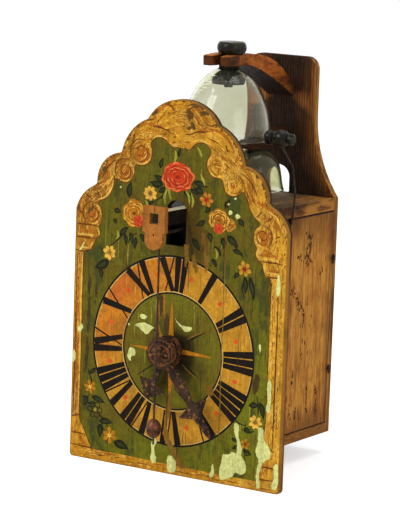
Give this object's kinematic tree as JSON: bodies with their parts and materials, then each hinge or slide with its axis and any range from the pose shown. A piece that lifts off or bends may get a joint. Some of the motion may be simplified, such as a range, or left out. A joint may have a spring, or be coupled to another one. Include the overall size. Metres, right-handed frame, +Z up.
{
  "type": "black forest clock",
  "caption": "Wall clock with an arched painted dial board, wooden striking movement, short pendulum in front of the dial, two glass bells and two side doors.",
  "frame": {"origin": "under the middle of the clock's box, at the height of the dial's lower edge", "axes": "+X to the right as the dial is read, +Y from the dial to the back board, +Z up"},
  "size_m": [0.2, 0.1844, 0.3417],
  "materials": {
    "painted_pine": "old paint on pine, worn and flaked",
    "door_pine": "waxed pine, worm-eaten",
    "dark_pine": "smoked, dark pine",
    "top_pine": "dusty bare pine",
    "frame_beech": "bare beech",
    "wheel_beech": "oiled beech",
    "arm_beech": "varnished bent beech",
    "black_wood": "turned, black and polished",
    "iron_wire": "dark iron wire",
    "rusty_iron": "rusted wrought iron",
    "old_brass": "tarnished brass",
    "cork": "dark leather and cork",
    "bell_glass": "blown greyish-green glass"
  },
  "bodies": {
    "case": {"back_board": "dark_pine", "top_board": "top_pine", "bottom_board": "top_pine", "corner_posts": "frame_beech", "front_bar": "frame_beech", "middle_bar": "frame_beech", "rear_bar": "frame_beech", "hinge_pins": "iron_wire", "case_nails": "iron_wire", "dial_board": "painted_pine", "bridge_arm": "top_pine", "bridge_plate": "painted_pine", "wheel_studs": "iron_wire", "crown_potences": "frame_beech", "big_bell": "bell_glass", "big_bell_washers": "cork", "bell_knob": "black_wood", "bell_arm": "arm_beech", "small_bell": "bell_glass", "small_bell_stem": "black_wood", "small_bell_arm": "arm_beech"},
    "left_door": {"left_door": "door_pine", "left_hinge_eyes": "iron_wire"},
    "right_door": {"right_door": "door_pine", "right_hinge_eyes": "iron_wire"},
    "going_great": {"going_great_arbor": "frame_beech", "going_great_wheel": "wheel_beech", "going_pulley": "wheel_beech"},
    "centre": {"centre_arbor": "frame_beech", "centre_wheel": "wheel_beech", "cannon_pinion": "wheel_beech", "minute_hand": "rusty_iron", "hand_pin": "rusty_iron"},
    "contrate": {"contrate_arbor": "frame_beech", "contrate_wheel": "wheel_beech"},
    "crown": {"crown_arbor": "iron_wire", "crown_wheel": "wheel_beech"},
    "motion": {"motion_wheel": "wheel_beech"},
    "hour": {"hour_wheel": "wheel_beech", "hour_hand": "rusty_iron"},
    "pendulum": {"verge_arbor": "iron_wire", "pendulum_wire": "iron_wire"},
    "bob": {"pendulum_bob": "old_brass"},
    "strike_great": {"strike_great_arbor": "frame_beech", "strike_great_wheel": "wheel_beech", "strike_pulley": "wheel_beech", "lifting_pins": "iron_wire"},
    "hoop": {"hoop_arbor": "frame_beech", "hoop_wheel": "wheel_beech"},
    "warning": {"warning_arbor": "frame_beech", "warning_wheel": "wheel_beech"},
    "fly": {"fly_arbor": "frame_beech", "fly_vane": "frame_beech"},
    "count": {"count_wheel": "wheel_beech"},
    "lifting": {"lifting_lever": "frame_beech"},
    "locking": {"locking_lever": "frame_beech"},
    "hammer": {"hammer_rod": "iron_wire", "hammer_head": "black_wood"},
    "quarter_hammer": {"quarter_hammer_rod": "iron_wire", "quarter_hammer_head": "black_wood"}
  },
  "joints": [
    {"name": "left_door_swing", "type": "hinge", "parent": "case", "child": "left_door", "pos_m": [-0.0558, 0.08575, 0.1145], "axis": [0, 0, -1], "range_deg": [0, 110]},
    {"name": "right_door_swing", "type": "hinge", "parent": "case", "child": "right_door", "pos_m": [0.0558, 0.08575, 0.1145], "axis": [0, 0, 1], "range_deg": [0, 110]},
    {"name": "centre_spin", "type": "hinge", "parent": "case", "child": "centre", "pos_m": [-0.003, 0.00175, 0.1005], "axis": [0, 1, 0], "continuous": true},
    {"name": "going_great_spin", "type": "hinge", "parent": "case", "child": "going_great", "pos_m": [-0.003, -0.03025, 0.0645], "axis": [0, 1, 0], "continuous": true},
    {"name": "contrate_spin", "type": "hinge", "parent": "case", "child": "contrate", "pos_m": [-0.003, -0.00825, 0.1293], "axis": [0, 1, 0], "continuous": true},
    {"name": "crown_spin", "type": "hinge", "parent": "case", "child": "crown", "pos_m": [-0.003, -0.01225, 0.17], "axis": [0, 0, 1], "continuous": true},
    {"name": "motion_spin", "type": "hinge", "parent": "case", "child": "motion", "pos_m": [-0.003, -0.04825, 0.1197], "axis": [0, 1, 0], "continuous": true},
    {"name": "hour_spin", "type": "hinge", "parent": "case", "child": "hour", "pos_m": [-0.003, -0.05225, 0.1005], "axis": [0, 1, 0], "continuous": true},
    {"name": "pendulum_swing", "type": "hinge", "parent": "case", "child": "pendulum", "pos_m": [-0.003, -0.08325, 0.196], "axis": [0, 1, 0], "range_deg": [-9, 9]},
    {"name": "bob_slide", "type": "slide", "parent": "pendulum", "child": "bob", "axis": [0, 0, 1], "range_m": [-0.004, 0.012]},
    {"name": "warning_spin", "type": "hinge", "parent": "case", "child": "warning", "pos_m": [-0.003, 0.04475, 0.126], "axis": [0, 1, 0], "continuous": true},
    {"name": "strike_great_spin", "type": "hinge", "parent": "case", "child": "strike_great", "pos_m": [-0.003, 0.02575, 0.0648], "axis": [0, 1, 0], "continuous": true},
    {"name": "hoop_spin", "type": "hinge", "parent": "case", "child": "hoop", "pos_m": [-0.003, 0.05275, 0.1005], "axis": [0, 1, 0], "continuous": true},
    {"name": "fly_spin", "type": "hinge", "parent": "case", "child": "fly", "pos_m": [-0.003, 0.03175, 0.1476], "axis": [0, 1, 0], "continuous": true},
    {"name": "count_spin", "type": "hinge", "parent": "case", "child": "count", "pos_m": [-0.003, 0.08075, 0.0928], "axis": [0, 1, 0], "continuous": true},
    {"name": "lifting_lever_lift", "type": "hinge", "parent": "case", "child": "lifting", "pos_m": [-0.0425, -0.00025, 0.15], "axis": [0, 1, 0], "range_deg": [-10, 0]},
    {"name": "locking_lever_lift", "type": "hinge", "parent": "case", "child": "locking", "pos_m": [-0.0425, 0.02975, 0.112], "axis": [0, 1, 0], "range_deg": [-10, 0]},
    {"name": "hammer_swing", "type": "hinge", "parent": "case", "child": "hammer", "pos_m": [0.0425, 0.01725, 0.185], "axis": [0, 1, 0], "range_deg": [0, 6], "stiffness_Nm_per_rad": 0.02, "springref_deg": -6.88},
    {"name": "quarter_hammer_swing", "type": "hinge", "parent": "case", "child": "quarter_hammer", "pos_m": [-0.0425, 0.04275, 0.185], "axis": [0, 1, 0], "range_deg": [-6, 0], "stiffness_Nm_per_rad": 0.01, "springref_deg": 6.88}
  ],
  "couplings": [
    {"joint": "going_great_spin", "follows": "centre_spin", "ratio": -0.11111},
    {"joint": "contrate_spin", "follows": "centre_spin", "ratio": -11},
    {"joint": "crown_spin", "follows": "centre_spin", "ratio": 110},
    {"joint": "motion_spin", "follows": "centre_spin", "ratio": -0.33333},
    {"joint": "hour_spin", "follows": "centre_spin", "ratio": 0.083333},
    {"joint": "hoop_spin", "follows": "warning_spin", "ratio": -0.11111},
    {"joint": "strike_great_spin", "follows": "warning_spin", "ratio": 0.008547},
    {"joint": "fly_spin", "follows": "warning_spin", "ratio": -8},
    {"joint": "count_spin", "follows": "warning_spin", "ratio": -0.0014245}
  ]
}
